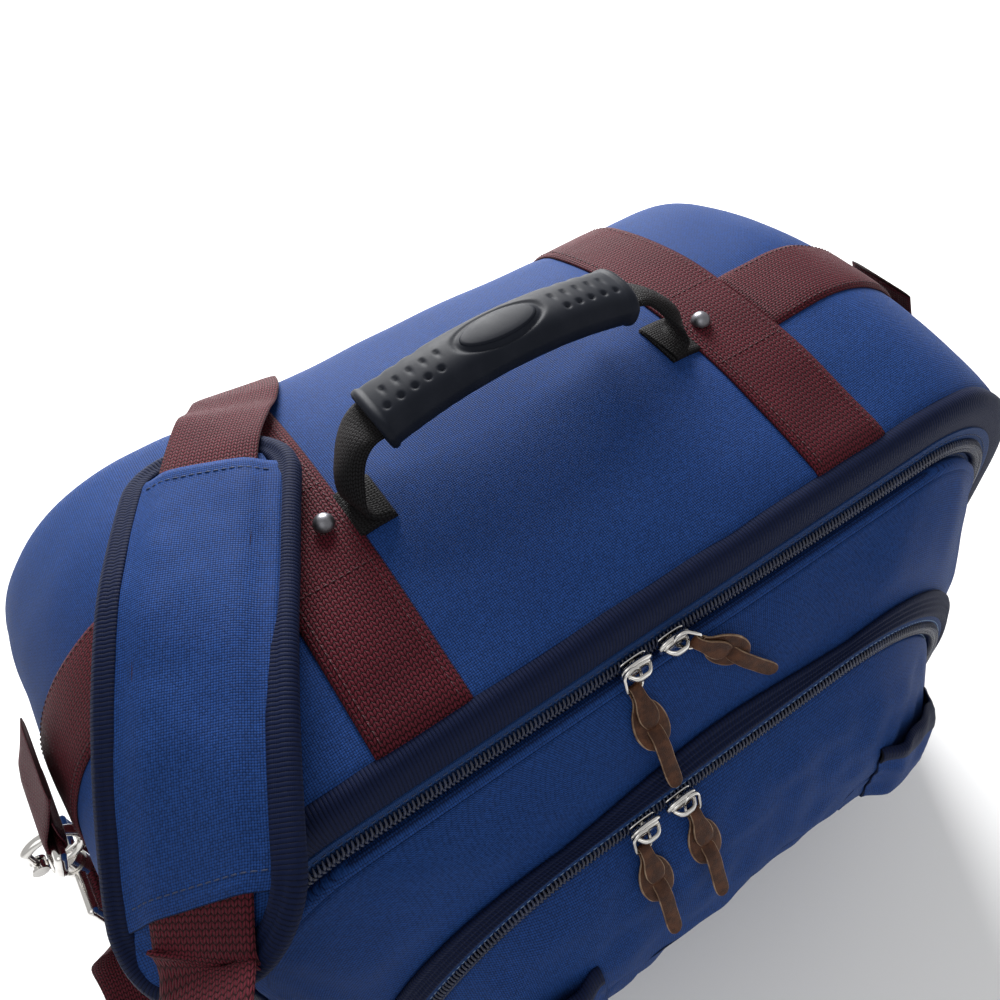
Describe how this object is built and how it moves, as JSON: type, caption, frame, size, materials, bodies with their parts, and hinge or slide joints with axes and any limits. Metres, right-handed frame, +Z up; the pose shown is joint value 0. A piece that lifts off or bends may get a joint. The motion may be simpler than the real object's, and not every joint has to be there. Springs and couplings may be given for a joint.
{
  "type": "flight bag",
  "caption": "Soft padded flight bag: zipped front door with organiser, moulded carry grip, webbing straps and a padded shoulder strap.",
  "frame": {"origin": "centre of the underside of the middle foot, directly below the middle of the carry handle", "axes": "+X along the bag's length to its right end, +Y from the front door to the back, +Z up"},
  "size_m": [0.5758, 0.3499, 0.3697],
  "materials": {
    "blue_cloth": "woven polyester",
    "navy_binding": "ribbed grosgrain",
    "maroon_webbing": "heavy woven webbing",
    "black_webbing": "woven webbing",
    "grip_rubber": "matt moulded",
    "zip_coil": "nylon coil",
    "nickel": "polished",
    "rivet_metal": "dull grey",
    "brown_leather": "split leather",
    "lining_cloth": "plain lining",
    "board": "stiff sheet",
    "foot_rubber": "matt"
  },
  "bodies": {
    "root": {"shell": "blue_cloth", "back_panel": "blue_cloth", "back_piping": "navy_binding", "lining": "lining_cloth", "base_board": "board", "dividers": "lining_cloth", "feet": "foot_rubber", "foot_rivets": "rivet_metal", "front_binding": "navy_binding", "zip_tape_body": "blue_cloth", "zip_coil_body": "zip_coil", "cross_strap_left": "maroon_webbing", "cross_strap_right": "maroon_webbing", "end_strap_left": "maroon_webbing", "end_strap_right": "maroon_webbing", "strap_rivets": "rivet_metal", "handle_tabs": "black_webbing", "ring_tabs": "maroon_webbing", "strap_loops": "nickel", "shoulder_webbing": "maroon_webbing", "shoulder_pad": "blue_cloth", "pad_cover": "blue_cloth", "pad_binding": "navy_binding"},
    "door": {"door_panel": "blue_cloth", "door_lining": "lining_cloth", "zip_tape_door": "blue_cloth", "zip_coil_door": "zip_coil", "organiser_gusset": "blue_cloth", "organiser_binding": "navy_binding", "organiser_tape": "blue_cloth", "organiser_coil": "zip_coil"},
    "flap": {"flap_panel": "blue_cloth", "flap_tape": "blue_cloth", "flap_coil": "zip_coil", "pocket_left": "blue_cloth", "pocket_right": "blue_cloth"},
    "handle": {"handle_webbing": "black_webbing", "grip_upper": "grip_rubber", "grip_lower": "grip_rubber", "grip_badge": "grip_rubber"},
    "slider_left": {"slider_left": "nickel", "bail_left": "nickel"},
    "slider_right": {"slider_right": "nickel", "bail_right": "nickel"},
    "pull_left": {"pull_left": "brown_leather"},
    "pull_right": {"pull_right": "brown_leather"},
    "organiser_slider_left": {"organiser_slider_left": "nickel", "organiser_bail_left": "nickel"},
    "organiser_slider_right": {"organiser_slider_right": "nickel", "organiser_bail_right": "nickel"},
    "organiser_pull_left": {"organiser_pull_left": "brown_leather"},
    "organiser_pull_right": {"organiser_pull_right": "brown_leather"},
    "d_ring_left": {"d_ring_left": "nickel"},
    "d_ring_right": {"d_ring_right": "nickel"},
    "hook_left": {"hook_left": "nickel"},
    "hook_right": {"hook_right": "nickel"},
    "gate_left": {"gate_left": "nickel"},
    "gate_right": {"gate_right": "nickel"},
    "adjuster": {"adjuster": "nickel"}
  },
  "joints": [
    {"name": "door_hinge", "type": "hinge", "parent": "root", "child": "door", "pos_m": [0, -0.0955, 0.028], "axis": [1, 0, 0], "range_deg": [0, 38]},
    {"name": "flap_hinge", "type": "hinge", "parent": "door", "child": "flap", "pos_m": [0, -0.134, 0.084], "axis": [1, 0, 0], "range_deg": [0, 45]},
    {"name": "handle_hinge", "type": "hinge", "parent": "root", "child": "handle", "pos_m": [0, 0, 0.338], "axis": [1, 0, 0], "range_deg": [-28, 104]},
    {"name": "slider_left_slide", "type": "slide", "parent": "door", "child": "slider_left", "axis": [1, 0, 0], "range_m": [-0.118, 0]},
    {"name": "slider_right_slide", "type": "slide", "parent": "door", "child": "slider_right", "axis": [1, 0, 0], "range_m": [0, 0.139]},
    {"name": "pull_left_hinge", "type": "hinge", "parent": "slider_left", "child": "pull_left", "pos_m": [-0.0248, -0.10564, 0.27964], "axis": [1, 0, 0], "range_deg": [-100, 0]},
    {"name": "pull_right_hinge", "type": "hinge", "parent": "slider_right", "child": "pull_right", "pos_m": [0.0063, -0.10564, 0.28528], "axis": [0.6428, 0, 0.766], "range_deg": [-90, 0]},
    {"name": "organiser_slider_left_slide", "type": "slide", "parent": "flap", "child": "organiser_slider_left", "axis": [1, 0, 0], "range_m": [-0.016, 0]},
    {"name": "organiser_slider_right_slide", "type": "slide", "parent": "flap", "child": "organiser_slider_right", "axis": [1, 0, 0], "range_m": [0, 0.084]},
    {"name": "organiser_pull_left_hinge", "type": "hinge", "parent": "organiser_slider_left", "child": "organiser_pull_left", "pos_m": [-0.0473, -0.14344, 0.22435], "axis": [1, 0, 0], "range_deg": [-90, 0]},
    {"name": "organiser_pull_right_hinge", "type": "hinge", "parent": "organiser_slider_right", "child": "organiser_pull_right", "pos_m": [-0.0207, -0.14344, 0.22435], "axis": [1, 0, 0], "range_deg": [-90, 0]},
    {"name": "d_ring_left_hinge", "type": "hinge", "parent": "root", "child": "d_ring_left", "pos_m": [-0.241, 0, 0.258], "axis": [0, 1, 0], "range_deg": [-4, 4]},
    {"name": "hook_left_swivel", "type": "hinge", "parent": "root", "child": "hook_left", "pos_m": [-0.25109, 0, 0.22628], "axis": [0, 0, 1], "range_deg": [-8, 8]},
    {"name": "gate_left_hinge", "type": "hinge", "parent": "hook_left", "child": "gate_left", "pos_m": [-0.26051, 0, 0.21968], "axis": [0, 1, 0], "range_deg": [0, 12], "stiffness_Nm_per_rad": 0.02, "springref_deg": -17.19},
    {"name": "d_ring_right_hinge", "type": "hinge", "parent": "root", "child": "d_ring_right", "pos_m": [0.241, 0, 0.258], "axis": [0, 1, 0], "range_deg": [-4, 4]},
    {"name": "hook_right_swivel", "type": "hinge", "parent": "root", "child": "hook_right", "pos_m": [0.25109, 0, 0.22628], "axis": [0, 0, 1], "range_deg": [-8, 8]},
    {"name": "gate_right_hinge", "type": "hinge", "parent": "hook_right", "child": "gate_right", "pos_m": [0.26051, 0, 0.21968], "axis": [0, 1, 0], "range_deg": [-12, 0], "stiffness_Nm_per_rad": 0.02, "springref_deg": 17.19},
    {"name": "adjuster_slide", "type": "slide", "parent": "root", "child": "adjuster", "axis": [0, 0, 1], "range_m": [-0.006, 0.024]}
  ]
}
